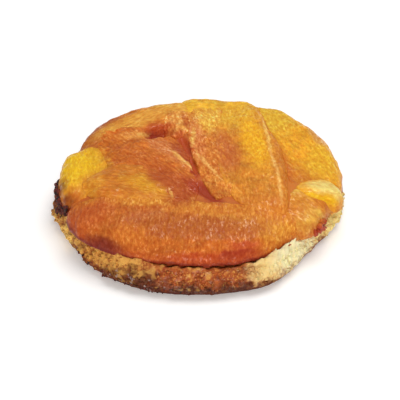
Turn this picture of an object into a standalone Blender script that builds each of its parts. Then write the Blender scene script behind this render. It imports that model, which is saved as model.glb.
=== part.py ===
"""A single-portion tarte tatin, turned out upside down: a round of thick browned pastry that
carries caramelised apple slices, packed side by side with their rounded outsides up.

Metres, +Z up. The origin is the centre of the flat underside, and -Y is the front.
"""

import math

import bmesh
import bpy

MM = 0.001

# Driving dimensions of the whole tart.
PASTRY_RADIUS = 52.5 * MM
PASTRY_SHOULDER = 9.4 * MM  # height of the bed that the apple lies on
CLEARANCE = 0.3 * MM  # kept between pieces that touch

# How finely the curved surfaces are divided.
PASTRY_SEGMENTS = 72
SLICE_STATIONS = 14
SECTION_STEPS = 12

SHARP_EDGE = math.radians(50)

BAKED_CRUST = (0.62, 0.30, 0.08, 1.0)
DEEP_CARAMEL_APPLE = (0.60, 0.17, 0.03, 1.0)
AMBER_APPLE = (0.72, 0.28, 0.04, 1.0)
GOLDEN_APPLE = (0.80, 0.42, 0.05, 1.0)
PALE_APPLE = (0.87, 0.66, 0.25, 1.0)


def clear_scene():
    for old in list(bpy.data.objects):
        bpy.data.objects.remove(old)


def finish(name, colour, roughness):
    """A Principled material with this colour."""
    made = bpy.data.materials.new(name)
    made.use_nodes = True
    shader = made.node_tree.nodes["Principled BSDF"]
    shader.inputs["Base Color"].default_value = colour
    shader.inputs["Roughness"].default_value = roughness
    shader.inputs["Metallic"].default_value = 0.0
    return made


def closed_skin(rings):
    """A closed mesh from rings of points, each joined to the next and the two ends capped."""
    shape = bmesh.new()
    rows = [[shape.verts.new(point) for point in ring] for ring in rings]
    for near, far in zip(rows, rows[1:]):
        for i in range(len(near)):
            j = (i + 1) % len(near)
            shape.faces.new((near[i], near[j], far[j], far[i]))
    shape.faces.new(rows[0][::-1])
    shape.faces.new(rows[-1])
    bmesh.ops.recalc_face_normals(shape, faces=shape.faces)
    return shape


def add_piece(name, shape, material):
    mesh = bpy.data.meshes.new(name)
    shape.to_mesh(mesh)
    shape.free()
    mesh.shade_smooth()
    mesh.set_sharp_from_angle(angle=SHARP_EDGE)
    piece = bpy.data.objects.new(name, mesh)
    piece.data.materials.append(material)
    bpy.context.scene.collection.objects.link(piece)
    return piece


# ---- Pastry ---------------------------------------------------------------------------------

# The side of the pastry, from the underside up to the rim: the share of its radius that it
# reaches there, and the height above the table in millimetres.
PASTRY_SIDE = (
    (0.50, 0.0),
    (0.93, 0.0),
    (0.975, 0.6),
    (1.00, 2.4),
    (1.005, 4.6),
    (0.99, 6.8),
    (0.965, 8.4),
)
# The rim from its outside to its inside: the share of the radius, and of the rim's own height.
PASTRY_RIM = ((0.935, 1.0), (0.900, 0.75), (0.875, 0.15))
PASTRY_BED = 0.45  # share of the radius where the level bed's inner ring lies


def hump(angle, middle, width):
    """1 at the middle angle, falling smoothly to 0 a width away on both sides. In degrees."""
    away = abs((angle - middle + 180) % 360 - 180) / width
    return 0.5 + 0.5 * math.cos(math.pi * min(away, 1.0))


def pastry_reach(angle):
    """How far the dough reaches at this angle, as a share of its radius."""
    turn = math.radians(angle)
    waves = 0.006 * math.sin(3 * turn + 0.6) + 0.006 * math.sin(7 * turn + 2.1)
    right_dent = 0.085 * hump(angle, -34, 34)
    front_dent = 0.04 * hump(angle, -88, 58)
    left_dent = 0.03 * hump(angle, -150, 24)
    return 1 + waves - right_dent - front_dent - left_dent


def rim_height(angle):
    """How far the rim stands above the apple's bed at this angle."""
    left, front, right = hump(angle, -132, 34), hump(angle, -95, 85), hump(angle, -42, 34)
    return (2.0 * left + 1.2 * front + 3.4 * right) * MM


def pastry_ring(share, height):
    """The ring of points at this share of the radius, at a height given for each angle."""
    ring = []
    for i in range(PASTRY_SEGMENTS):
        angle = 360 * i / PASTRY_SEGMENTS
        radius = PASTRY_RADIUS * share * pastry_reach(angle)
        turn = math.radians(angle)
        ring.append((radius * math.cos(turn), radius * math.sin(turn), height(angle)))
    return ring


def pastry():
    rings = [pastry_ring(share, lambda angle, up=up: up * MM) for share, up in PASTRY_SIDE]
    for share, part in PASTRY_RIM:
        rings.append(
            pastry_ring(share, lambda angle, part=part: PASTRY_SHOULDER + part * rim_height(angle))
        )
    rings.append(pastry_ring(PASTRY_BED, lambda angle: PASTRY_SHOULDER))
    return add_piece("pastry", closed_skin(rings), finish("baked_crust", BAKED_CRUST, 0.7))


# ---- Apple slices ---------------------------------------------------------------------------

ROUND_END = 2.6  # exponent of the outline that a slice narrows along, seen from above
LOWEST_SHARE = 0.12  # how high the edge of a slice is, as a share of its back's height
END_REACH = 0.06  # share of a slice's half turn that is left off at each end


def through(start, middle, end, t):
    """The value at share t of the quadratic through these three."""
    return start * (2 * t - 1) * (t - 1) + middle * 4 * t * (1 - t) + end * t * (2 * t - 1)


class Slice:
    """An apple slice that lies on its cut side with its rounded outside up.

    crest holds the start, middle and end of the highest line of its back, each as x, y and the
    height above the bed, and left and right are the widths of its two flanks, seen along that
    line. All are in millimetres. point is 1 for a round end and 2 for a sharp one, at the start
    and the end. full is how square the left and the right flank are, from 2 for a round one.
    """

    def __init__(self, name, material, crest, left, right, full, point=(1.0, 1.0)):
        self.name = name
        self.material = material
        self.crest = crest
        self.left = left * MM
        self.right = right * MM
        self.point = point
        self.full = full

    def back(self, t):
        """The point of the crest at share t: x, y and the height above the bed."""
        return [through(*(at[k] for at in self.crest), t) * MM for k in range(3)]

    def leftwards(self, t):
        """The level direction to the left of the crest at share t."""
        near, far = self.back(max(t - 0.01, 0)), self.back(min(t + 0.01, 1))
        ahead = (far[0] - near[0], far[1] - near[1])
        size = math.hypot(*ahead)
        return -ahead[1] / size, ahead[0] / size

    def taper(self, t):
        """How wide the slice is at share t, as a share of its greatest width."""
        side = 2 * t - 1
        power = self.point[0] if side < 0 else self.point[1]
        return (1 - abs(side) ** ROUND_END) ** (0.5 * power)

    def section(self, t, grow):
        """The ring of points round the slice at share t."""
        x, y, height = self.back(t)
        nx, ny = self.leftwards(t)
        narrow = self.taper(t)
        rise = height * min(1.0, 0.3 + narrow) + grow
        left, right = self.left * narrow + grow, self.right * narrow + grow
        ring = []
        for i in range(SECTION_STEPS + 1):
            swing = math.pi * i / SECTION_STEPS
            width, full = (left, self.full[0]) if swing < math.pi / 2 else (right, self.full[1])
            u = math.copysign(abs(math.cos(swing)) ** (2 / full), math.cos(swing))
            up = math.sin(swing) ** (2 / full) if 0 < i < SECTION_STEPS else 0.0
            ring.append((u * width, rise * (LOWEST_SHARE + (1 - LOWEST_SHARE) * up)))
        for width in (-0.88 * right, -0.3 * right, 0.3 * left, 0.88 * left):
            ring.append((width, -0.8 * grow))
        base = PASTRY_SHOULDER + CLEARANCE
        return [(x + nx * across, y + ny * across, base + up) for across, up in ring]

    def skin(self, grow=0.0):
        """The slice's closed surface, with grow added all round."""
        rings = []
        for i in range(SLICE_STATIONS + 1):
            turn = math.pi * (END_REACH + (1 - 2 * END_REACH) * i / SLICE_STATIONS)
            rings.append(self.section(0.5 - 0.5 * math.cos(turn), grow))
        return closed_skin(rings)


def slices():
    """All the slices. Each is cut away where one listed before it lies on it or presses on it."""
    deep = finish("deep_caramel_apple", DEEP_CARAMEL_APPLE, 0.3)
    amber = finish("amber_apple", AMBER_APPLE, 0.3)
    golden = finish("golden_apple", GOLDEN_APPLE, 0.3)
    pale = finish("pale_apple", PALE_APPLE, 0.4)
    return (
        Slice("slice_front", deep, ((-46, -16.5, 8), (-3, -26, 11.5), (38, -25, 8)),
              left=4.5, right=20.2, point=(1.1, 2.0), full=(3.5, 2.1)),
        Slice("slice_left_tip", golden, ((-40, -13, 9.5), (-26, -10.5, 12.0), (-4, -20, 11.8)),
              left=11, right=11, point=(1.2, 2.0), full=(3.6, 4.0)),
        Slice("slice_right_crescent", amber, ((17, 46.6, 8.2), (26, 13, 12.5), (29, -27, 11.5)),
              left=4, right=21, point=(1.0, 0.5), full=(3.0, 4.0)),
        Slice("slice_curl", amber, ((-9, 37, 9), (-8, 28, 11), (-9, 18, 9.5)),
              left=5.5, right=5, full=(3.0, 3.0)),
        Slice("slice_left_crescent", deep, ((-38, 22, 8.5), (-14, 11, 12), (-6, -24, 11)),
              left=8, right=22, point=(1.0, 0.4), full=(3.6, 4.0)),
        Slice("slice_middle", amber, ((5, 46, 8.5), (1.5, 18, 11.5), (9.5, -20, 11)),
              left=14, right=5.5, point=(1.0, 0.5), full=(4.0, 3.6)),
        Slice("slice_left_edge", golden, ((-43, 17, 6.5), (-43, 3, 8.5), (-44.5, -15, 7)),
              left=13, right=7, full=(4.0, 2.3)),
        Slice("slice_right_pale", pale, ((34, -11.5, 10), (43, -10, 9.8), (51.5, -8.5, 6.8)),
              left=4.5, right=6, point=(2.2, 1.0), full=(3.0, 3.0)),
        Slice("slice_right_edge", golden, ((23, 43.5, 8.8), (40, 21, 9.4), (47, -14, 8.5)),
              left=7.5, right=22, full=(2.3, 4.0)),
        Slice("slice_right_end", amber, ((30, -19, 8.5), (36, -22, 8.5), (42, -26, 6)),
              left=12, right=8.6, full=(4.0, 2.3)),
        Slice("slice_back", golden, ((-9, 41.6, 9.6), (7, 44.2, 9.8), (22.4, 42.6, 8.2)),
              left=6, right=11, full=(2.3, 4.0)),
        Slice("slice_back_left", amber, ((-42, 14, 6.5), (-27, 31.5, 10), (3, 43, 10)),
              left=8, right=16, point=(1.5, 1.0), full=(2.3, 4.0)),
    )


def room_for(apple_slice):
    """A cutter that leaves the clearance all round a slice."""
    room = add_piece(
        apple_slice.name + "_room", apple_slice.skin(grow=CLEARANCE), apple_slice.material
    )
    room.hide_render = True
    room.display_type = "WIRE"
    return room


def cut(piece, rooms):
    """Takes all these rooms out of a piece at once."""
    pressing = bpy.data.collections.new(piece.name + "_rooms")
    for room in rooms:
        pressing.objects.link(room)
    change = piece.modifiers.new("rooms", "BOOLEAN")
    change.operation = "DIFFERENCE"
    change.solver = "EXACT"
    change.operand_type = "COLLECTION"
    change.collection = pressing


def meet(one, other):
    """Whether the boxes round two pieces overlap."""
    for axis in range(3):
        here = [corner[axis] for corner in one.bound_box]
        there = [corner[axis] for corner in other.bound_box]
        if max(here) < min(there) or max(there) < min(here):
            return False
    return True


def apple(bed):
    """The slices, pressed into the pastry and cut to fit round each other."""
    rooms = []
    for apple_slice in slices():
        piece = add_piece(apple_slice.name, apple_slice.skin(), apple_slice.material)
        pressing = [room for room in rooms if meet(piece, room)]
        if pressing:
            cut(piece, pressing)
        rooms.append(room_for(apple_slice))
    cut(bed, rooms)


clear_scene()
apple(pastry())
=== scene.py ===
"""The looks of a tarte tatin for one: browned pastry, glossy caramelised apple and its caramel."""

import math
import random

import bmesh
import bpy
import numpy as np
from mathutils import Matrix, Vector, noise
from mathutils.bvhtree import BVHTree


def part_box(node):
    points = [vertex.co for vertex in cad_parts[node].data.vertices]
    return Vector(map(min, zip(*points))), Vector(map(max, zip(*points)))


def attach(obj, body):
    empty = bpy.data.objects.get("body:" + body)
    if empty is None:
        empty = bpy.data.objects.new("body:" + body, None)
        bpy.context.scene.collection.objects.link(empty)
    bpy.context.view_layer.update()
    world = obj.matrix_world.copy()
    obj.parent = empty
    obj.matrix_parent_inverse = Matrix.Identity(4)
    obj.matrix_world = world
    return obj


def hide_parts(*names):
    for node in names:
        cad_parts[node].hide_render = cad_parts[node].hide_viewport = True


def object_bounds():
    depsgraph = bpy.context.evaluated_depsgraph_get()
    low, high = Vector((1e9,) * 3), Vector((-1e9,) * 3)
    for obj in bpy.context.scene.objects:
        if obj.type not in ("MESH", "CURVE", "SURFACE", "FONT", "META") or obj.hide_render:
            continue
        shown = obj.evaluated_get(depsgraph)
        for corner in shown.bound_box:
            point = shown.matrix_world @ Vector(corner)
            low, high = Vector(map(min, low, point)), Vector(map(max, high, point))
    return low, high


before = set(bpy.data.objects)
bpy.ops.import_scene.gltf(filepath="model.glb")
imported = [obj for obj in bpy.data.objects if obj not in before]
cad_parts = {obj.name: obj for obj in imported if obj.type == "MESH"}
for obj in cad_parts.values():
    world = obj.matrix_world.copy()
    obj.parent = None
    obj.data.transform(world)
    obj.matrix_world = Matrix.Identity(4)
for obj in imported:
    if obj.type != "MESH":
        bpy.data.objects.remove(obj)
cad_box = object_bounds()

MM = 0.001


# ---- Pastry -----------------------------------------------------------------------------------
# The round of short flaky dough that was laid over the apple in the pan and now carries it. It
# has baked to a dry crumbly brown, stays pale and thick where its rim was folded at the right
# front, and is scorched where caramel boiled down its left and front sides.

PASTRY_GRAIN = 0.5 * MM  # the distance between the points of its mesh
PASTRY_ROUNDING = 6


def settle(piece):
    """Makes what a piece's modifiers do to it part of its own mesh."""
    graph = bpy.context.evaluated_depsgraph_get()
    finished = bpy.data.meshes.new_from_object(piece.evaluated_get(graph))
    piece.modifiers.clear()
    piece.data = finished


def round_off(piece, rounds):
    """Rounds a piece's edges, more the more rounds there are."""
    rounding = piece.modifiers.new("rounding", "SMOOTH")
    rounding.factor = 0.5
    rounding.iterations = rounds
    settle(piece)


def drop_specks(piece):
    """Removes the loose specks that the even mesh leaves beside a piece's thin edges."""
    shape = bmesh.new()
    shape.from_mesh(piece.data)
    left = set(shape.verts)
    islands = []
    while left:
        reached = [left.pop()]
        island = list(reached)
        while reached:
            point = reached.pop()
            near = {edge.other_vert(point) for edge in point.link_edges}
            fresh = near & left
            left -= fresh
            reached += fresh
            island += fresh
        islands.append(island)
    largest = max(islands, key=len)
    specks = [point for island in islands if island is not largest for point in island]
    bmesh.ops.delete(shape, geom=specks, context="VERTS")
    shape.to_mesh(piece.data)
    shape.free()


def soft_copy(node, name, grain, rounds):
    """A fine even mesh of a CAD node, with its edges rounded off."""
    piece = bpy.data.objects.new(name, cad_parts[node].data.copy())
    bpy.context.scene.collection.objects.link(piece)
    even = piece.modifiers.new("even", "REMESH")
    even.mode = "VOXEL"
    even.voxel_size = grain
    settle(piece)
    drop_specks(piece)
    round_off(piece, rounds)
    return piece


def read_mesh(piece):
    """The points in millimetres and the outward directions of a piece's mesh."""
    count = len(piece.data.vertices)
    points, normals = np.zeros(count * 3, np.float32), np.zeros(count * 3, np.float32)
    piece.data.vertices.foreach_get("co", points)
    piece.data.vertex_normals.foreach_get("vector", normals)
    return points.reshape(-1, 3).astype(float) / MM, normals.reshape(-1, 3).astype(float)


def write_mesh(piece, points):
    """Moves a piece's mesh to these points, given in millimetres."""
    piece.data.vertices.foreach_set("co", (points * MM).astype(np.float32).ravel())
    piece.data.update()
    piece.data.shade_smooth()


def note(piece, name, values):
    """Keeps one number at each point of a mesh, for its material to read."""
    kept = piece.data.attributes.new(name, "FLOAT", "POINT")
    kept.data.foreach_set("value", np.asarray(values, np.float32))


def lumps(points, size, shift=0.0):
    """Smooth noise from about -1 to 1 whose lumps have this size, in millimetres."""
    scaled = points / np.asarray(size, float) + shift
    return np.array([noise.noise(Vector(at)) for at in scaled])


def step(values, low, high):
    """0 up to low, 1 from high, and a smooth rise between."""
    share = np.clip((values - low) / (high - low), 0, 1)
    return share * share * (3 - 2 * share)


class Flow:
    """A number, colour or direction on its way through a material's nodes."""

    def __init__(self, tree, socket=None):
        self.tree = tree
        self.socket = socket

    def node(self, kind, settings=None, inputs=None, output=0):
        """A new node: first its settings, then the values or flows of its sockets."""
        made = self.tree.nodes.new("ShaderNode" + kind)
        for name, value in (settings or {}).items():
            setattr(made, name, value)
        for name, value in (inputs or {}).items():
            if isinstance(value, Flow):
                self.tree.links.new(value.socket, made.inputs[name])
            else:
                made.inputs[name].default_value = value
        return Flow(self.tree, made.outputs[output])

    def maths(self, operation, *terms):
        return self.node("Math", {"operation": operation}, dict(enumerate(terms)))

    def __add__(self, other):
        return self.maths("ADD", self, other)

    __radd__ = __add__

    def __sub__(self, other):
        return self.maths("SUBTRACT", self, other)

    def __rsub__(self, other):
        return self.maths("SUBTRACT", other, self)

    def __mul__(self, other):
        return self.maths("MULTIPLY", self, other)

    __rmul__ = __mul__

    def clear_of(self, low, high):
        """0 where this number is low and 1 where it is high, with a smooth change between."""
        return self.node(
            "MapRange",
            {"interpolation_type": "SMOOTHSTEP"},
            {"Value": self, "From Min": low, "From Max": high},
        )

    def dye(self, under, over, blend="MIX"):
        """The colour under where this mask is 0 and, where it is 1, over mixed into it."""
        colours = [c if isinstance(c, Flow) else (*c, 1.0) for c in (under, over)]
        return self.node(
            "Mix",
            {"data_type": "RGBA", "blend_type": blend, "clamp_factor": True},
            {0: self, 6: colours[0], 7: colours[1]},
            output=2,
        )

    def grain(self, size, detail=3.0, rough=0.55):
        """Noise from 0 to 1 over this place in millimetres, with lumps of this size."""
        return self.node(
            "TexNoise",
            {"noise_dimensions": "3D"},
            {"Vector": self, "Scale": 1 / size, "Detail": detail, "Roughness": rough},
            output="Fac",
        )

    def ragged(self, amount, size):
        """This place moved about by noise, so that what is drawn on it gets an uneven edge."""
        push = self.node(
            "TexNoise", {}, {"Vector": self, "Scale": 1 / size, "Detail": 4.0}, output="Color"
        )
        centred = self.node("VectorMath", {"operation": "SUBTRACT"}, {0: push, 1: (0.5, 0.5, 0.5)})
        return self.node(
            "VectorMath",
            {"operation": "MULTIPLY_ADD"},
            {0: centred, 1: (amount,) * 3, 2: self},
        )

    def turned(self, degrees, stretch):
        """This place seen along a level direction, drawn out along it and upwards."""
        return self.node(
            "Mapping",
            {"vector_type": "TEXTURE"},
            {
                "Vector": self,
                "Rotation": (0, 0, math.radians(degrees)),
                "Scale": (stretch, 1, 0.6 * stretch),
            },
        )

    def patch(self, centre, reach, degrees=0.0, soft=0.35):
        """1 inside an oval patch with this centre and these half lengths, fading to 0 outside."""
        local = self.node(
            "Mapping",
            {"vector_type": "TEXTURE"},
            {
                "Vector": self,
                "Location": centre,
                "Rotation": (0, 0, math.radians(degrees)),
                "Scale": reach,
            },
        )
        away = self.node("VectorMath", {"operation": "LENGTH"}, {0: local}, output="Value")
        return away.clear_of(1 + soft, 1 - soft)


def new_finish(name):
    """An empty Principled material, its shader and a flow that can start its nodes."""
    made = bpy.data.materials.new(name)
    made.use_nodes = True
    shader = made.node_tree.nodes["Principled BSDF"]
    return made, shader, Flow(made.node_tree)


def place_in_mm(start):
    """The place on the object, in millimetres."""
    metres = start.node("TexCoord", output="Object")
    return start.node("VectorMath", {"operation": "SCALE"}, {0: metres, "Scale": 1 / MM})


def height_of(place):
    """How high this place is above the table, in millimetres."""
    return place.node("SeparateXYZ", {}, {0: place}, output="Z")


def feed(shader, name, flow):
    """Lets a flow drive one of a material's sockets."""
    flow.tree.links.new(flow.socket, shader.inputs[name])


def relief(start, shader, heights, depth):
    """Fine relief in the shading: heights from 0 to 1, this many metres deep."""
    bump = start.node("Bump", {}, {"Strength": 1.0, "Distance": depth, "Height": heights})
    feed(shader, "Normal", bump)


def soften(shader, weight, depth):
    """Lets light spread under the surface, red furthest, as it does in baked dough and fruit."""
    shader.inputs["Subsurface Weight"].default_value = weight
    shader.inputs["Subsurface Radius"].default_value = (1.0, 0.4, 0.15)
    shader.inputs["Subsurface Scale"].default_value = depth * MM


def keep(piece, slot, *nodes):
    """Says that a piece belongs to the tart and hides the CAD nodes it shows; slot is not used."""
    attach(piece, "root")
    if nodes:
        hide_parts(*nodes)
    return piece


CRUST_BROWN, CRUST_GOLD = (0.33, 0.062, 0.016), (0.55, 0.175, 0.042)
CRUST_TOAST_AND_SHADE, CRUST_STRAW = (0.12, 0.026, 0.012), (0.90, 0.49, 0.11)
CRUST_BUTTER, CRUST_CREAM = (0.95, 0.72, 0.30), (1.0, 0.93, 0.56)
CRUST_LIGHT_AND_LIT, CRUST_YELLOW = (1.0, 0.66, 0.18), (1.0, 0.80, 0.30)
CRUST_BURNT = (0.20, 0.035, 0.015)
CRUST_GLAZED = (0.50, 0.115, 0.024)  # where syrup soaked into the front and set to a shine
SCORCHED, BLACK = (0.075, 0.018, 0.010), (0.014, 0.006, 0.005)
GREY_FLECK = (0.46, 0.36, 0.34)  # a pale lilac grey, for flecks on the scorched dough

# Each patch is its centre, its half lengths, how far it is turned, its colour and strength.
# These lie under the browning, the scorched ones over it and the pale ones over everything.
CRUST_PATCHES = (
    ((-37, -37.5, 10), (22.5, 9, 5), -39, CRUST_STRAW, 0.78),
    # A pale straw on the left side, made lighter still as painted light where that side gets less
    # light.
    ((-50, -20, 8), (10, 18, 7), -12, CRUST_LIGHT_AND_LIT, 0.95),
    ((0, -50, 6), (19, 5, 6), 0, CRUST_GLAZED, 0.72),
)
PALE_PATCHES = (
    ((27, -45.5, 10), (11, 6, 5.7), 27, CRUST_BUTTER, 0.9),
    ((39, -34, 11), (17, 10, 9), 52, CRUST_CREAM, 0.94),
    ((49, -20, 9), (9, 13, 7), 0, (1.0, 0.80, 0.34), 0.85),
    ((52, -6, 9), (8, 24, 7), 0, CRUST_YELLOW, 0.9),
)
SCORCH_PATCHES = (
    ((-22, -46.5, 2.2), (20, 6, 5.2), -20, SCORCHED, 0.7),
    ((-20, -48.5, 7.5), (7, 5, 2.4), -15, SCORCHED, 0.6),
    ((-49, -13, 7), (3.5, 3.5, 3), 0, CRUST_BROWN, 0.55),
    ((-44, -30, 1), (9, 6, 3.5), -40, SCORCHED, 0.6),
    ((3, -51, 0.6), (31, 8, 5), 0, SCORCHED, 0.9),
    ((28, -46, 0), (12, 6, 2.4), 32, SCORCHED, 0.5),
    ((-51, 1, 8), (5, 9, 4), 0, CRUST_BURNT, 0.9),
)
# Where pale grey flecks lie on the scorched dough, and where its syrup set to a shine.
GREY_FLECKED_PLACE = ((-24, -46, 4), (16, 7, 3), -22)
SHINY_PLACE = ((4, -50, 7), (24, 8, 6))

# On the way down, the heights at which each of these begins and is complete.
TOASTED_AND_SHADED_FROM, FLECKED_FROM = (6.0, 1.0), (9.5, 2.0)


def crust_finish(name):
    """Dry baked dough: browns that darken downwards, partly as painted shade, crumbs, patches,
    scorching and grey flecks.
    """
    made, shader, start = new_finish(name)
    place = place_in_mm(start)
    dent = start.node("Attribute", {"attribute_name": "dent"}, output="Fac")
    height = height_of(place)
    colour = place.grain(2.6, 4.0, 0.65).clear_of(0.38, 0.66).dye(CRUST_BROWN, CRUST_GOLD)
    edge = place.ragged(9.0, 4.0)
    # Darker towards the table: partly toasted dough, partly painted shade where the table keeps the
    # light off.
    colour = (height.clear_of(*TOASTED_AND_SHADED_FROM) * 0.85).dye(colour, CRUST_TOAST_AND_SHADE)
    for centre, reach, degrees, shade, strength in CRUST_PATCHES:
        colour = (edge.patch(centre, reach, degrees) * strength).dye(colour, shade)
    browned = place.grain(1.5, 3.0, 0.7).clear_of(0.52, 0.60)
    colour = (browned * 0.75).dye(colour, CRUST_BROWN)
    pale_crumb = place.grain(0.9, 2.0, 0.6).clear_of(0.56, 0.66)
    colour = (pale_crumb * 0.5).dye(colour, CRUST_STRAW)
    for centre, reach, degrees, shade, strength in SCORCH_PATCHES:
        colour = (edge.patch(centre, reach, degrees) * strength).dye(colour, shade)
    # Painted highlight on the raised crumbs and painted shade in the dents between them.
    colour = (dent.clear_of(0.2, 0.7) * height.clear_of(2.0, 5.0) * 0.45).dye(colour, CRUST_STRAW)
    colour = (dent.clear_of(-0.1, -0.7) * 0.6).dye(colour, CRUST_BROWN)
    colour = (dent.clear_of(-0.5, -1.1) * 0.6).dye(colour, CRUST_TOAST_AND_SHADE)
    flecks = place.grain(0.8, 2.0, 0.6).clear_of(0.64, 0.72)
    colour = (flecks * height.clear_of(*FLECKED_FROM) * 0.7).dye(colour, BLACK)
    grey_flecked = place.grain(1.7, 2.0, 0.6).clear_of(0.58, 0.68) * edge.patch(*GREY_FLECKED_PLACE)
    colour = (grey_flecked * 0.8).dye(colour, GREY_FLECK)
    for centre, reach, degrees, shade, strength in PALE_PATCHES:
        colour = (edge.patch(centre, reach, degrees) * strength).dye(colour, shade)
    feed(shader, "Base Color", colour)
    feed(shader, "Roughness", 0.55 + 0.3 * place.grain(1.5, 2.0))
    shader.inputs["Specular IOR Level"].default_value = 0.15
    shine = edge.patch(*SHINY_PLACE) * place.grain(1.6).clear_of(0.45, 0.6)
    feed(shader, "Coat Weight", shine * 0.6)
    shader.inputs["Coat Roughness"].default_value = 0.2
    soften(shader, weight=0.1, depth=0.6)
    relief(start, shader, place.grain(0.5, 4.0, 0.7), depth=0.4 * MM)
    return made


# A fold leaves the dough below the first of these heights alone and takes all that is above the
# second with it. It leans out by this share of how far it rises.
RIM_FOOT, RIM_TOP = 8.0, 11.0
FOLD_LEAN = 0.16
# Where the rim was folded up over the apple's foot: the angle, its spread and how far it rose.
FOLDS = ((-40.5, 12.5, 5.1), (-60, 14, 0.6), (-14, 10, 3.6), (-136, 22, 2.0))
# Where the dough spread or shrank as it baked: the angle, its spread and how far out it went.
# It moved only beyond the first of these distances from the middle, and fully at the second.
SPREADS = ((-62, 28, 0.8), (-5, 12, -0.9), (-160, 14, -0.8))
SPREAD_FROM, SPREAD_FULLY = 30, 48


def along_edge(turn, places):
    """What places given as angle, spread and amount add up to in this direction, in degrees."""
    return sum(most * np.exp(-(((turn - middle) / width) ** 2)) for middle, width, most in places)


def fold_rim(piece):
    """Raises the rim where it was folded up, and lets the dough out or in round its edge."""
    points = read_mesh(piece)[0]
    turn = np.degrees(np.arctan2(points[:, 1], points[:, 0]))
    folded = along_edge(turn, FOLDS) * step(points[:, 2], RIM_FOOT, RIM_TOP)
    points[:, 2] += folded
    away = np.maximum(np.hypot(points[:, 0], points[:, 1]), 1.0)
    moved = along_edge(turn, SPREADS) * step(away, SPREAD_FROM, SPREAD_FULLY)
    out = moved + FOLD_LEAN * folded
    points[:, :2] *= (1 + out / away)[:, None]
    write_mesh(piece, points)
    round_off(piece, PASTRY_ROUNDING)


def bake_pastry():
    """Shows the pastry with a folded rim, and a crumbly side whose layers part like leaves."""
    piece = soft_copy("pastry", "baked_pastry", PASTRY_GRAIN, PASTRY_ROUNDING)
    fold_rim(piece)
    points, normals = read_mesh(piece)
    side = step(1 - np.abs(normals[:, 2]), 0.2, 0.7)
    off_table = step(points[:, 2], 0.3, 2.2)
    bulge = 0.6 * lumps(points, 6.0)
    crumbly = 0.85 * lumps(points, 2.8, 7.1) + 0.5 * lumps(points, 1.3, 3.3)
    leaf = 0.45 * lumps(points, (9.0, 9.0, 1.4), 5.5) * side
    rise = (bulge + crumbly + leaf - 0.2) * off_table
    points += normals * rise[:, None]
    points[:, 2] = np.maximum(points[:, 2], 0.0)
    write_mesh(piece, points)
    note(piece, "dent", (1.3 * crumbly + leaf) * off_table)
    piece.data.materials.clear()
    piece.data.materials.append(crust_finish("baked_crust"))
    return keep(piece, "baked_crust", "pastry")


pastry = bake_pastry()


# ---- Apple slices -----------------------------------------------------------------------------
# Wedges of peeled apple, cooked in caramel until soft and glassy. They lie on the dough with
# their rounded outsides up, pressed together, and the caramel's glaze is all that holds them.
# Their grain shows as fine pale streaks, partly painted glints, and each is redder where it
# soaked in the syrup.

SLICE_GRAIN = 0.45 * MM
SLICE_ROUNDING, SWOLLEN_ROUNDING = 7, 4
SEAM_DEPTH = 0.03  # each slice lies this much lower at its seams than the one laid before it
PRESSED = 0.35  # how far a slice's side bulges out against its neighbours
GAPE = 1.6  # how far the skin sinks at an open place, for each millimetre of its depth
DENT_DEEPEST, RIDGE_HIGHEST = -0.12, 0.5
DOUGH_TOP, CLEAR_OF_DOUGH = 10.0, 12.0  # a slice keeps its cut foot below and swells above

# The backs are surveyed over a square that reaches this far from the middle, at places this far
# apart and from this height. A skin is then drawn over them, which bridges grooves up to twice
# the groove reach in width and is evened out this many times.
SURVEY_HALF, SURVEY_STEP, SURVEY_FROM = 66.0, 0.6, 40
GROOVE_REACH = 7.8
SKIN_ROUNDS = 12

# Where the apple has sunk inwards at its edge: the angle, its spread and how far out it went.
# It moved only beyond the first of these distances from the middle, and fully at the second.
SLUMPS = ((43, 11, -1.9), (78, 8, -2.4), (128, 22, -0.6), (150, 8, -0.8))
SLUMP_FROM, SLUMP_FULLY = 20, 45

# Where two backs stand apart instead of pressing together, down the long crack: centre, half
# lengths and turn as seen from above, and depth.
OPEN_PLACES = (
    (-4.5, 13, 1.8, 9, 14, 1.6),
    (-1.5, 0, 1.6, 7, 14, 1.4),
)
# Where the backs themselves sink, given in the same way: behind the crack and at its end.
HOLLOWS = (
    (-15.5, 22, 8, 5, 15, 3.5),
    (2.4, -15.0, 8.5, 2.6, -54, 1.2),
)


def spread(heights, reach, highest):
    """The highest or lowest of the heights within this many steps of each place."""
    pick = np.maximum if highest else np.minimum
    wide = heights.copy()
    for i in range(-reach, reach + 1):
        for j in range(-reach, reach + 1):
            if i * i + j * j <= reach * reach:
                wide = pick(wide, np.roll(heights, (i, j), (0, 1)))
    return wide


def apple_below():
    """All the slices as they lie, for finding what is under or beside a place."""
    shape = bmesh.new()
    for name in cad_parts:
        if name.startswith("slice_"):
            shape.from_mesh(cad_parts[name].data)
    bmesh.ops.scale(shape, vec=(1 / MM,) * 3, verts=shape.verts)
    tree = BVHTree.FromBMesh(shape)
    shape.free()
    return tree


def survey():
    """The slices as they lie, the dough's height and the height of a skin over all the backs."""
    apple = apple_below()
    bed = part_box("slice_front")[0].z / MM
    rows = int(2 * SURVEY_HALF / SURVEY_STEP) + 1
    tops = np.full((rows, rows), bed)
    for i in range(rows):
        for j in range(rows):
            x, y = i * SURVEY_STEP - SURVEY_HALF, j * SURVEY_STEP - SURVEY_HALF
            hit = apple.ray_cast(Vector((x, y, SURVEY_FROM)), Vector((0, 0, -1)))[0]
            if hit:
                tops[i, j] = hit.z
    reach = round(GROOVE_REACH / SURVEY_STEP)
    skin = spread(spread(tops, reach, True), reach, False)
    for _ in range(SKIN_ROUNDS):
        near = sum(np.roll(skin, way, (0, 1)) for way in ((1, 0), (-1, 0), (0, 1), (0, -1)))
        skin = 0.5 * skin + 0.125 * near
    return apple, bed, skin


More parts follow.
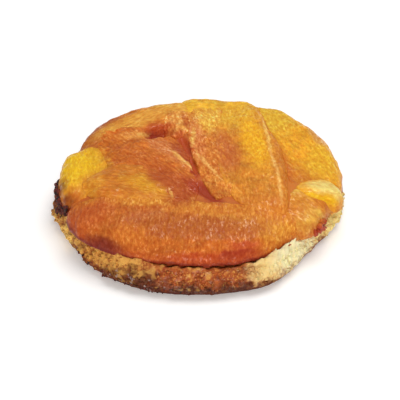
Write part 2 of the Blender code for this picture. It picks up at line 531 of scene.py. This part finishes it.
def inside(oval, x, y):
    """1 in the middle of an oval, given as centre, half lengths and turn, and 0 outside."""
    cx, cy, length, width, degrees = oval
    turn = math.radians(degrees)
    along = (x - cx) * math.cos(turn) + (y - cy) * math.sin(turn)
    across = -(x - cx) * math.sin(turn) + (y - cy) * math.cos(turn)
    return 1 - step(np.hypot(along / length, across / width), 0.3, 1.1)


def depth_of(places, x, y):
    """How far these sunken places reach down at a level place, in millimetres."""
    return sum(place[5] * inside(place[:5], x, y) for place in places)


def slumped(x, y):
    """How far out the apple ends up at a level place, as a share of how far out it was laid."""
    away = np.maximum(np.hypot(x, y), 1.0)
    moved = along_edge(np.degrees(np.arctan2(y, x)), SLUMPS)
    return 1 + moved * step(away, SLUMP_FROM, SLUMP_FULLY) / away


def skin_over(points):
    """The height of the skin over each point, read between the surveyed places."""
    at = np.clip((points[:, :2] + SURVEY_HALF) / SURVEY_STEP, 0, skin.shape[0] - 2)
    low = at.astype(int)
    share = at - low
    i, j = low[:, 0], low[:, 1]
    u, v = share[:, 0], share[:, 1]
    near = skin[i, j] * (1 - u) + skin[i + 1, j] * u
    far = skin[i, j + 1] * (1 - u) + skin[i + 1, j + 1] * u
    return near * (1 - v) + far * v


apple, bed, skin = survey()


def plan_of(place):
    """This place as seen from above, without its height."""
    return place.node("VectorMath", {"operation": "MULTIPLY"}, {0: place, 1: (1, 1, 0)})


def apple_finish(name, ripe, soaked, lie, patches, streaks):
    """Glazed apple: ripe on top, soaked at its foot, with patches of other colours.

    The patches that all slices share run on across the seams between them. Fibres and specks
    along its lie are lighter and darker in turn; the lighter ones are partly painted glints.
    """
    made, shader, start = new_finish(name)
    place = place_in_mm(start)
    dent = start.node("Attribute", {"attribute_name": "dent"}, output="Fac")
    colour = place.grain(4.5, 3.0, 0.6).clear_of(0.3, 0.7).dye(
        tuple(c * 0.84 for c in ripe), tuple(min(1.0, c * 1.14) for c in ripe)
    )
    edge, fine = plan_of(place.ragged(4.0, 4.0)), plan_of(place.ragged(1.4, 2.0))
    for x, y, length, width, degrees, shade in (*patches, *SHARED_PATCHES):
        colour = edge.patch((x, y, 0), (length, width, 1), degrees, 0.55).dye(colour, shade)
    height = height_of(place) + 4 * (place.grain(5.0) - 0.5)
    colour = (height.clear_of(*SOAKED_FROM) * 0.7).dye(colour, soaked)
    wet = 1.0 - edge.patch(*DRY_END)
    colour = (height.clear_of(*RED_FROM) * wet * 0.85).dye(colour, RED)
    # Darkest of all at its very foot, just above the dough.
    colour = (height_of(place).clear_of(*FOOT_DARKEST_FROM) * wet * 0.8).dye(colour, FOOT_DARKEST)
    for x, y, length, width, degrees, shade in HIGHLIGHT_AND_BURNT_LINES:
        line = fine.patch((x, y, 0), (length, width, 1), degrees, 0.7)
        colour = (line * 0.85).dye(colour, shade)
    # Pale streaks along the lie: the fruit's grain, brightened as painted glints of the wet glaze.
    fibre = place.turned(lie, 2.2).grain(1.1, 3.0, 0.65)
    colour = (fibre.clear_of(0.46, 0.66) * streaks * 2.0).dye(colour, STREAK_AND_HIGHLIGHT_LIFT, "DODGE")
    colour = (fibre.clear_of(0.50, 0.34) * streaks * 2.0).dye(colour, SOAK_AND_SHADE, "MULTIPLY")
    speck = place.turned(lie, 2.0).grain(0.8, 2.0, 0.6)
    # Painted glints: bright specks that lighten the colour, gathered in clusters.
    glints = speck.clear_of(0.52, 0.64) * (0.4 + 0.6 * place.grain(5.0).clear_of(0.42, 0.6))
    colour = (glints * streaks * 2.6).dye(colour, STREAK_AND_HIGHLIGHT_LIFT, "DODGE")
    colour = (speck.clear_of(0.44, 0.32) * streaks * 2.0).dye(colour, SOAK_AND_SHADE, "MULTIPLY")
    # Painted shade in the dents of the relief and painted highlight on its ridges.
    colour = (dent.clear_of(0.0, -0.8) * 0.6).dye(colour, SOAK_AND_SHADE, "MULTIPLY")
    colour = (dent.clear_of(0.2, 1.0) * 0.6).dye(colour, STREAK_AND_HIGHLIGHT_LIFT, "DODGE")
    feed(shader, "Base Color", colour)
    feed(shader, "Roughness", 0.34 + 0.3 * place.grain(2.0, 3.0))
    feed(shader, "Coat Weight", 0.05 + 0.8 * glints)
    shader.inputs["Coat Roughness"].default_value = 0.15
    shader.inputs["Specular IOR Level"].default_value = 0.1
    soften(shader, weight=0.1, depth=0.8)
    relief(start, shader, 0.6 * fibre + 0.4 * speck, depth=0.6 * MM)
    return made


def swell(piece, sunk):
    """Lets a slice press against its neighbours and fill up the groove between them."""
    points, normals = read_mesh(piece)
    above = step(points[:, 2], DOUGH_TOP, CLEAR_OF_DOUGH)
    open_by = depth_of(OPEN_PLACES, points[:, 0], points[:, 1])
    swollen = skin_over(points) - sunk - GAPE * open_by
    upward = step(normals[:, 2], 0.05, 0.4) * above
    points[:, 2] += np.maximum(swollen - points[:, 2], 0) * upward
    points[:, 2] -= depth_of(HOLLOWS, points[:, 0], points[:, 1]) * above
    points[:, :2] += normals[:, :2] * (PRESSED * (1 - np.clip(open_by, 0, 1)))[:, None]
    points[:, :2] *= slumped(points[:, 0], points[:, 1])[:, None]
    write_mesh(piece, points)
    round_off(piece, SWOLLEN_ROUNDING)


laid = []  # the slices that are in place, in the order in which they were laid


def lay_slice(node, slot, ripe, soaked, lie, patches=(), crinkle=0.0, streaks=0.25):
    """Shows a slice cooked: soft-edged, dented and streaked along its lie, given in degrees."""
    piece = soft_copy(node, "cooked_" + node, SLICE_GRAIN, SLICE_ROUNDING)
    swell(piece, SEAM_DEPTH * (1 + len(laid)))
    laid.append(piece)
    points, normals = read_mesh(piece)
    turn = math.radians(lie)
    ahead, aside = (math.cos(turn), math.sin(turn)), (-math.sin(turn), math.cos(turn))
    local = np.column_stack((points[:, :2] @ ahead, points[:, :2] @ aside, points[:, 2]))
    dents = 0.45 * lumps(points, 8.0, 1.7) + 0.25 * lumps(points, 3.4, 4.2)
    grain = 0.16 * lumps(local, (6.0, 1.4, 2.0), 2.9) + 0.14 * lumps(local, (2.4, 0.9, 1.2), 8.3)
    folds = crinkle * (0.45 * lumps(local, (4.5, 1.9, 3.0), 6.6) + 0.3 * lumps(points, 1.5, 0.7))
    above = step(points[:, 2], DOUGH_TOP, CLEAR_OF_DOUGH)
    seam = step(skin_over(points) - points[:, 2], 1.2, 0.1)
    rise = (dents + (grain + folds) * (0.35 + 0.65 * seam)) * above
    points += normals * np.clip(rise + 0.08, DENT_DEEPEST, RIDGE_HIGHEST)[:, None]
    write_mesh(piece, points)
    note(piece, "dent", (grain + folds + 0.4 * dents) * 2.2)
    piece.data.materials.clear()
    piece.data.materials.append(apple_finish(piece.name, ripe, soaked, lie, patches, streaks))
    return keep(piece, slot, node)


DEEP, DEEP_FOOT = (0.53, 0.132, 0.016), (0.44, 0.070, 0.011)
AMBER, AMBER_FOOT = (0.63, 0.195, 0.020), (0.50, 0.098, 0.012)
GOLD, GOLD_FOOT = (0.79, 0.35, 0.018), (0.62, 0.18, 0.014)
PALE, BROWN = (0.84, 0.63, 0.17), (0.44, 0.083, 0.014)
RED, MAROON = (0.33, 0.032, 0.012), (0.11, 0.008, 0.008)
BURNT_RED = (0.17, 0.016, 0.010)
POOL_RED, FOOT_DARKEST = (0.50, 0.078, 0.014), (0.19, 0.020, 0.010)
STREAK_AND_HIGHLIGHT_LIFT = (0.27, 0.46, 0.66)  # how much the pale grain streaks, painted glints and painted ridge highlights lighten a colour
SOAK_AND_SHADE = (0.86, 0.62, 0.50)  # what soaking in syrup, and the painted shade in dents, leave of each part of a colour

# On the way down, the heights at which each of these colours begins and is complete.
SOAKED_FROM, RED_FROM, FOOT_DARKEST_FROM = (17.0, 12.0), (12.5, 10.0), (12.8, 11.4)
# The right end of the tart, where the apple's foot stayed clear of syrup: centre, half lengths.
DRY_END = ((44, -20, 0), (17, 17, 1))

# Each patch is its centre, half lengths and turn as seen from above, and its colour.
SHARED_PATCHES = (
    # A lighter gold band along the front slice's crest, partly painted highlight.
    (-12, -21.0, 17, 3.2, -4, (0.67, 0.245, 0.026)),
    (8, -26.5, 18, 3.0, 0, (0.66, 0.225, 0.026)),
    (24, -24, 14, 6, 0, (0.64, 0.205, 0.022)),
    (-5, -17, 5, 8, -20, BROWN),
    (-11.5, -9.5, 8, 4.5, -42, (0.46, 0.092, 0.015)),
    (-42, -17, 8, 4, 10, (0.58, 0.15, 0.018)),
    (-38, -9, 4, 8, 0, (0.70, 0.27, 0.02)),
    (-21, 20.5, 7, 3.0, 10, (0.72, 0.27, 0.045)),
    (-5.6, 6.6, 2.7, 8, 24, (0.42, 0.074, 0.014)),
    (1.2, -15.7, 9.5, 2.7, -54, (0.40, 0.050, 0.013)),
    (-1.3, -3.5, 1.2, 5, 14, (0.36, 0.042, 0.012)),
    (-4.2, 14, 1.6, 8, 14, POOL_RED),
    (-4.6, 29, 1.4, 5, 10, (0.52, 0.13, 0.018)),
    (-14, 25, 5, 4.2, 10, POOL_RED),
    (-16.5, 23.6, 3.6, 1.6, 10, (0.33, 0.036, 0.012)),
    (-47.8, -13.6, 3.2, 3.2, 0, MAROON),
    (-50.6, -6.0, 2.6, 4.6, 0, MAROON),
)
# Thin pale lines along the slices' ridges and edges, which are painted highlights, and one
# dark one where the glaze burnt at the front slice's foot.
HIGHLIGHT_AND_BURNT_LINES = (
    (24.9, 20.0, 12, 0.6, -84, (0.90, 0.52, 0.11)),
    (27.1, 1.2, 8.5, 0.55, -80, (0.88, 0.46, 0.11)),
    (28.9, -14.0, 8.5, 0.55, -86, (0.88, 0.46, 0.11)),
    (-7.0, 4.0, 4.5, 0.8, -62, (0.82, 0.40, 0.09)),
    (-3.6, 0.0, 4.0, 0.7, -56, (0.82, 0.40, 0.09)),
    (2.6, 2.2, 4.0, 0.6, -66, (0.84, 0.42, 0.10)),
    (5.6, -4.4, 4.4, 0.6, -62, (0.84, 0.42, 0.10)),
    (-1.8, 18.5, 5.5, 0.8, 88, (0.86, 0.48, 0.10)),
    (0.8, 4.6, 4.0, 0.5, -70, (0.76, 0.35, 0.08)),
    (-20.5, 22.8, 2.6, 0.7, 30, (0.76, 0.38, 0.08)),
    (-9.5, -17.5, 2.6, 0.5, -75, (0.76, 0.36, 0.08)),
    (-6.8, 27.5, 2.2, 0.6, 60, (0.76, 0.36, 0.08)),
    (-33.0, -37.4, 7.5, 1.7, -29, BURNT_RED),
)

lay_slice(
    "slice_front", "deep_caramel_apple", DEEP, DEEP_FOOT, lie=90, crinkle=0.25, streaks=0.33,
    patches=(
        (-40, -24, 9, 8, 0, (0.53, 0.11, 0.018)),
        (22, -29, 20, 7, 0, (0.60, 0.21, 0.024)),
        (31, -35, 10, 7, 50, (0.70, 0.285, 0.030)),
        (-20, -32, 8, 5, 20, (0.53, 0.15, 0.035)),
        (-6, -35, 27, 4.6, 0, (0.46, 0.114, 0.015)),
        (-24, -37, 6, 4, 0, (0.60, 0.165, 0.020)),
        (2, -46.2, 28, 1.5, 2, (0.50, 0.075, 0.014)),
        (13.5, -44.6, 8, 1.3, 13, RED),
        (16, -41.8, 5.5, 1.2, 13, (0.50, 0.085, 0.020)),
    ),
)
lay_slice(
    "slice_left_tip", "golden_apple", (0.60, 0.185, 0.018), AMBER_FOOT, lie=-20, crinkle=0.2,
    patches=((-17, -13, 10, 4.5, -25, (0.69, 0.29, 0.018)),),
)
lay_slice(
    "slice_right_crescent", "amber_apple", (0.66, 0.232, 0.022), AMBER_FOOT, lie=-84, crinkle=0.35,
    patches=(
        (13, 37, 9, 12, 0, (0.78, 0.405, 0.03)),
        (20.5, 14, 17, 4.6, -82, (0.85, 0.40, 0.014)),
        (10, 8, 12, 4, -80, (0.58, 0.155, 0.030)),
        # A darker line right of the ridge, painted shade.
        (31, -2, 16, 2.4, -83, (0.62, 0.20, 0.02)),
    ),
)
lay_slice(
    "slice_curl", "amber_apple", (0.74, 0.295, 0.05), AMBER_FOOT, lie=-80, crinkle=0.9,
    streaks=0.39, patches=((-8, 20, 4, 3, 0, (0.54, 0.12, 0.018)),),
)
lay_slice(
    "slice_left_crescent", "deep_caramel_apple", (0.62, 0.160, 0.018), DEEP_FOOT, lie=-50,
    crinkle=0.5, streaks=0.33,
    patches=(
        (-37, 7, 5, 10, 20, (0.66, 0.26, 0.02)),
        (-20, 3, 12, 5, -45, (0.55, 0.130, 0.016)),
        (-10, -10, 14, 5, -60, (0.52, 0.115, 0.015)),
        (-11, 9, 14, 3.4, -50, (0.63, 0.19, 0.045)),
    ),
)
lay_slice(
    "slice_middle", "amber_apple", (0.64, 0.20, 0.025), AMBER_FOOT, lie=-76, crinkle=0.7,
    streaks=0.39,
    patches=(
        (2, 42, 7, 7, 0, (0.76, 0.40, 0.05)),
        (4, 30, 6, 8, 0, (0.80, 0.41, 0.05)),
        (7, 4, 5, 10, 0, (0.61, 0.175, 0.024)),
        (-0.5, 17, 14, 2.6, -84, (0.67, 0.205, 0.045)),
    ),
)
lay_slice(
    "slice_left_edge", "golden_apple", (0.72, 0.30, 0.02), GOLD_FOOT, lie=90, crinkle=0.25,
    streaks=0.2,
    patches=(
        (-44, 5, 8, 12, 0, (0.84, 0.48, 0.012)),
        (-44, -16, 10, 6, 0, (0.62, 0.175, 0.018)),
    ),
)
lay_slice(
    "slice_right_pale", "pale_apple", GOLD, GOLD_FOOT, lie=0, crinkle=0.2, streaks=0.2,
    patches=(
        (47.5, -9.5, 9, 4.2, 8, PALE),
        (45, -15.4, 9, 1.7, 4, (0.79, 0.43, 0.012)),
    ),
)
lay_slice(
    "slice_right_edge", "golden_apple", GOLD, GOLD_FOOT, lie=-70, crinkle=0.25, streaks=0.25,
    patches=(
        (28, 34, 8, 12, 0, (0.75, 0.42, 0.03)),
        (37, -8, 9, 11, 0, (0.62, 0.205, 0.016)),
        (43, 24, 10, 2, -75, (0.70, 0.32, 0.06)),
        (45, 6, 6, 10, 0, (0.79, 0.41, 0.020)),
        # A darker line right of the ridge, painted shade.
        (31.8, -5, 17, 3.0, -84, (0.60, 0.165, 0.018)),
    ),
)
lay_slice(
    "slice_right_end", "amber_apple", (0.76, 0.42, 0.06), AMBER_FOOT, lie=-40, crinkle=0.3,
    streaks=0.26,
    patches=(
        (37, -18.5, 6, 4, 0, (0.66, 0.25, 0.025)),
        (44, -17.8, 3.4, 3.4, 0, (0.64, 0.21, 0.022)),
        (45, -29, 4.5, 4, 40, (0.36, 0.055, 0.012)),
    ),
)
lay_slice(
    "slice_back", "golden_apple", (0.80, 0.42, 0.03), GOLD_FOOT, lie=0, crinkle=0.25,
)
lay_slice(
    "slice_back_left", "amber_apple", AMBER, AMBER_FOOT, lie=35, crinkle=0.3, streaks=0.26,
    patches=(
        (-6, 43, 14, 7, 0, (0.80, 0.42, 0.06)),
        (-38, 26, 12, 9, 50, (0.42, 0.095, 0.016)),
        (-24, 30, 16, 4, 30, (0.73, 0.33, 0.045)),
    ),
)


# ---- Caramel ----------------------------------------------------------------------------------
# Sugar and butter boiled with the apple's juice to a dark red-brown syrup. It ran down between
# the slices when the tart was turned over and set in every groove, close under their backs, and
# a thin uneven bead of it lies round their foot on the dough.

FILL_DEPTH = 0.5  # how far below the skin over the backs it has set
FILL_THICK = 1.0 * MM
FILL_LEAST = 0.8  # it lies only where it would be this far above the dough

BEAD_STEPS, BEAD_SIDES = 480, 8
BEAD_THIN, BEAD_THICK = 0.15, 1.2  # how thick it is at the back, and how much thicker in front
BEAD_UNEVEN, BEAD_LEAST = 0.8, 0.12  # how much this varies, and the least it comes to
BEAD_UP, BEAD_CLIMB = 0.6, 1.4  # its middle above the dough, and how far it climbs in front
OUTSIDE = 70  # a place this far from the middle is clear of the tart

CARAMEL_LIGHT, CARAMEL_DARK = (0.58, 0.15, 0.018), (0.50, 0.105, 0.015)
CARAMEL_GOLD, CRACK_RED = (0.62, 0.185, 0.018), (0.38, 0.046, 0.012)
BEAD_DARK, BEAD_LIGHT = (0.24, 0.026, 0.010), (0.62, 0.24, 0.035)

# The places that have a colour of their own, as seen from above, and the heights between which
# the caramel takes on the colour of its foot.
GOLDEN_PLACE = ((36, 8, 0), (14, 34, 1))
CRACK_END = ((3.5, -16.5, 0), (8, 2.8, 1), -54)
FOOT_FROM = (14.5, 12.5)


def caramel_finish(name, foot, foot_at_end):
    """Set caramel, red in the open places, with its own colour low down and at the dry end."""
    made, shader, start = new_finish(name)
    place = place_in_mm(start)
    edge = plan_of(place.ragged(3.0, 4.0))
    colour = place.grain(4.0, 3.0).clear_of(0.3, 0.7).dye(CARAMEL_LIGHT, CARAMEL_DARK)
    colour = edge.patch(*GOLDEN_PLACE).dye(colour, CARAMEL_GOLD)
    for x, y, length, width, degrees, _ in OPEN_PLACES + HOLLOWS:
        colour = edge.patch((x, y, 0), (length, width, 1), degrees).dye(colour, POOL_RED)
    colour = edge.patch(*CRACK_END).dye(colour, CRACK_RED)
    low = edge.patch(*DRY_END).dye(foot, foot_at_end)
    colour = (height_of(place).clear_of(*FOOT_FROM) * 0.9).dye(colour, low)
    feed(shader, "Base Color", colour)
    feed(shader, "Roughness", 0.3 + 0.25 * place.grain(2.0, 2.0))
    shader.inputs["Specular IOR Level"].default_value = 0.2
    shader.inputs["Coat Weight"].default_value = 0.1
    shader.inputs["Coat Roughness"].default_value = 0.15
    soften(shader, weight=0.12, depth=1.0)
    relief(start, shader, place.grain(1.2, 3.0), depth=0.25 * MM)
    return made


def mesh_piece(name, shape, finish):
    """A new smooth piece with this shape and material."""
    mesh = bpy.data.meshes.new(name)
    shape.to_mesh(mesh)
    shape.free()
    piece = bpy.data.objects.new(name, mesh)
    bpy.context.scene.collection.objects.link(piece)
    mesh.shade_smooth()
    mesh.materials.append(finish)
    return piece


def fill_grooves(finish):
    """Pours a thin sheet of caramel that shows only in the grooves between the backs."""
    pool = bmesh.new()
    grid = {}
    rows = skin.shape[0]
    for i in range(rows):
        for j in range(rows):
            x, y = i * SURVEY_STEP - SURVEY_HALF, j * SURVEY_STEP - SURVEY_HALF
            level = skin[i, j] - FILL_DEPTH - depth_of(OPEN_PLACES + HOLLOWS, x, y)
            if level > bed + FILL_LEAST:
                level += 0.1 * noise.noise(Vector((x / 2.5, y / 2.5, 0.4)))
                share = float(slumped(x, y))
                grid[i, j] = pool.verts.new(Vector((x * share, y * share, level)) * MM)
    for i, j in grid:
        corners = [grid.get(at) for at in ((i, j), (i + 1, j), (i + 1, j + 1), (i, j + 1))]
        if all(corners):
            pool.faces.new(corners)
    loose = [point for point in pool.verts if not point.link_faces]
    bmesh.ops.delete(pool, geom=loose, context="VERTS")
    piece = mesh_piece("groove_caramel", pool, finish)
    thick = piece.modifiers.new("thick", "SOLIDIFY")
    thick.thickness = FILL_THICK
    thick.offset = -1.0
    settle(piece)
    return keep(piece, "caramel")


def lay_bead(finish):
    """The line of caramel squeezed out round the apple's foot, thickest along the front."""
    shape = bmesh.new()
    rings = []
    for i in range(BEAD_STEPS):
        turn = 2 * math.pi * i / BEAD_STEPS
        out = Vector((math.cos(turn), math.sin(turn), 0))
        hit = apple.ray_cast(out * OUTSIDE + Vector((0, 0, bed + BEAD_UP)), -out)[0]
        fronted = max(0.0, -out.y) ** 3
        uneven = 0.5 * noise.noise(Vector(hit) / 5.0) + 0.3 * noise.noise(Vector(hit) / 1.8)
        thick = max(BEAD_LEAST, BEAD_THIN + BEAD_THICK * fronted + BEAD_UNEVEN * uneven)
        share = float(slumped(hit.x, hit.y))
        foot = Vector((hit.x * share, hit.y * share, hit.z))
        ring = []
        for j in range(BEAD_SIDES):
            lean = 2 * math.pi * j / BEAD_SIDES
            at = foot + out * thick * (math.cos(lean) + 0.1)
            at.z = bed + BEAD_UP + BEAD_CLIMB * fronted + thick * 0.9 * math.sin(lean)
            ring.append(shape.verts.new(at * MM))
        rings.append(ring)
    for i in range(BEAD_STEPS):
        near, far = rings[i], rings[(i + 1) % BEAD_STEPS]
        for j in range(BEAD_SIDES):
            k = (j + 1) % BEAD_SIDES
            shape.faces.new((near[j], near[k], far[k], far[j]))
    bmesh.ops.recalc_face_normals(shape, faces=shape.faces)
    return keep(mesh_piece("foot_caramel", shape, finish), "caramel")


caramel = caramel_finish("set_caramel", BEAD_DARK, BEAD_LIGHT)
fill_grooves(caramel)
lay_bead(caramel)


# ---- Crumbs and burnt bits ----------------------------------------------------------------------
# Short dough sheds crumbs, which cling to its own side and rim. Where caramel boiled over the
# left side it charred into hard dark lumps, and it left burnt specks low on the front left. At
# the right front it dripped down red between the apple and the folded rim.


def crumb(shape, at, out, size, seed):
    """Adds one small irregular lump to a mesh, pressed into the surface that it clings to."""
    spin = Matrix.Rotation(6.28 * seed, 4, out)
    made = bmesh.ops.create_icosphere(shape, subdivisions=2, radius=size)
    flat = 0.6 + 0.25 * math.sin(50 * seed)
    for point in made["verts"]:
        rough = 1 + 0.7 * noise.noise(point.co / size * 1.3 + Vector((37 * seed, 11 * seed, 0)))
        x, y, z = point.co
        point.co = spin @ (Vector((x, y * flat, z)) * rough)
        point.co += at + out * size * 0.1


def cling(name, finish, slot, count, sizes, rays, seed):
    """Strews lumps of these sizes where rays, each a start and a direction, meet the tart."""
    pick = random.Random(seed)
    shape = bmesh.new()
    for _ in range(count):
        start, ahead = (Vector(part) for part in rays(pick))
        found = [piece.ray_cast(start * MM, ahead) for piece in (pastry, *laid)]
        hits = [(hit[1], hit[2]) for hit in found if hit[0]]
        if hits:
            at, out = min(hits, key=lambda hit: (hit[0] - start * MM).length)
            crumb(shape, at, out, pick.uniform(*sizes) * MM, pick.random())
    return keep(mesh_piece(name, shape, finish), slot)


def from_side(angle, height):
    """A level ray towards the tart's middle from this angle, at this height."""
    turn = math.radians(angle)
    out_x, out_y = math.cos(turn), math.sin(turn)
    return (OUTSIDE * out_x, OUTSIDE * out_y, height), (-out_x, -out_y, 0)


CHARRED, DRIP_RED = (0.17, 0.024, 0.013), (0.38, 0.040, 0.014)


def burnt_finish(name):
    """Charred caramel, nearly black and dull."""
    made, shader, start = new_finish(name)
    place = place_in_mm(start)
    colour = place.grain(1.4, 3.0).clear_of(0.35, 0.65).dye(BLACK, CHARRED)
    feed(shader, "Base Color", colour)
    feed(shader, "Roughness", 0.4 + 0.4 * place.grain(0.8, 2.0))
    shader.inputs["Specular IOR Level"].default_value = 0.3
    relief(start, shader, place.grain(0.4, 3.0), depth=0.2 * MM)
    return made


crumb_finish = crust_finish("crumb_crust")
burnt = burnt_finish("burnt_caramel")
dripped = caramel_finish("dripped_caramel", RED, DRIP_RED)
cling(
    "crumbs", crumb_finish, "baked_crust", count=520, sizes=(0.3, 1.0), seed=3,
    rays=lambda pick: from_side(angle=pick.uniform(-175, 25), height=pick.uniform(3.0, 9.5)),
)
cling(
    "burnt_bits", burnt, "caramel", count=80, sizes=(0.5, 1.4), seed=5,
    rays=lambda pick: from_side(angle=pick.uniform(176, 197), height=pick.uniform(7.5, 12.6)),
)
cling(
    "caramel_drips", dripped, "caramel", count=36, sizes=(0.5, 1.3), seed=7,
    rays=lambda pick: from_side(angle=pick.uniform(-34, -26), height=pick.uniform(9.0, 13.5)),
)
cling(
    "burnt_flecks", burnt, "caramel", count=60, sizes=(0.25, 0.6), seed=8,
    rays=lambda pick: from_side(angle=pick.gauss(-118, 15), height=abs(pick.gauss(0, 2.0)) + 0.8),
)


# ---- Table, light and camera --------------------------------------------------------------------
# A bare white table under soft studio light: one wide box nearly overhead, a little to the
# right and behind, a smaller warm one low in front, and bright even surroundings.

TABLE_HALF, TABLE_GAP = 1.5, 0.05 * MM
TABLE_WHITE, TABLE_ROUGH, TABLE_GLOW = (0.9, 0.9, 0.9), 0.7, 0.24
WHITE, WARM = (1.0, 1.0, 1.0), (1.0, 0.88, 0.74)

# The camera: how many degrees it looks down, how far off it stands, the point it looks at and
# how wide a strip it sees there.
CAMERA_DOWN, CAMERA_AWAY = 36, 0.9
CAMERA_AIM = (0.7 * MM, 0, 5.6 * MM)
VIEW_WIDTH, SENSOR_WIDTH = 144.9275 * MM, 36


def white_table():
    """A matt white table just under the pastry."""
    mesh = bpy.data.meshes.new("table")
    corners = [(TABLE_HALF * x, TABLE_HALF * y, 0) for x, y in ((-1, -1), (1, -1), (1, 1), (-1, 1))]
    mesh.from_pydata(corners, [], [(0, 1, 2, 3)])
    table = bpy.data.objects.new("table", mesh)
    table.location.z = cad_box[0].z - TABLE_GAP
    bpy.context.scene.collection.objects.link(table)
    made, shader = new_finish("white_table")[:2]
    shader.inputs["Base Color"].default_value = (*TABLE_WHITE, 1.0)
    shader.inputs["Roughness"].default_value = TABLE_ROUGH
    shader.inputs["Emission Color"].default_value = (*WHITE, 1.0)
    shader.inputs["Emission Strength"].default_value = TABLE_GLOW
    table.data.materials.append(made)


def soft_box(name, place, size, power, colour):
    """A square light at this place, turned to the tart."""
    lamp = bpy.data.lights.new(name, "AREA")
    lamp.color = colour
    lamp.shape = "SQUARE"
    lamp.size = size
    lamp.energy = power
    box = bpy.data.objects.new(name, lamp)
    box.location = place
    box.rotation_mode = "QUATERNION"
    box.rotation_quaternion = (-Vector(place)).to_track_quat("-Z", "Y")
    bpy.context.scene.collection.objects.link(box)


def surroundings(strength):
    """Even white light from everywhere."""
    world = bpy.data.worlds.new("studio")
    world.use_nodes = True
    sky = world.node_tree.nodes["Background"]
    sky.inputs["Color"].default_value = (*WHITE, 1.0)
    sky.inputs["Strength"].default_value = strength
    bpy.context.scene.world = world


def look_from_the_front():
    """The camera, in front of the tart and looking down at it."""
    down = math.radians(CAMERA_DOWN)
    back = Vector((0, -math.cos(down), math.sin(down)))
    camera = bpy.data.objects.new("camera", bpy.data.cameras.new("camera"))
    camera.data.sensor_width = SENSOR_WIDTH
    camera.data.lens = SENSOR_WIDTH * CAMERA_AWAY / VIEW_WIDTH
    camera.location = Vector(CAMERA_AIM) + back * CAMERA_AWAY
    camera.rotation_mode = "QUATERNION"
    camera.rotation_quaternion = (-back).to_track_quat("-Z", "Y")
    camera.data.clip_start = 0.05
    bpy.context.scene.collection.objects.link(camera)
    bpy.context.scene.camera = camera


white_table()
soft_box("box_right", place=(0.16, 0.14, 0.72), size=0.6, power=3.55, colour=WHITE)
soft_box("box_front", place=(-0.02, -0.74, 0.24), size=0.42, power=2.5, colour=WARM)
surroundings(strength=0.39)
look_from_the_front()
bpy.context.scene.view_settings.view_transform = "Standard"
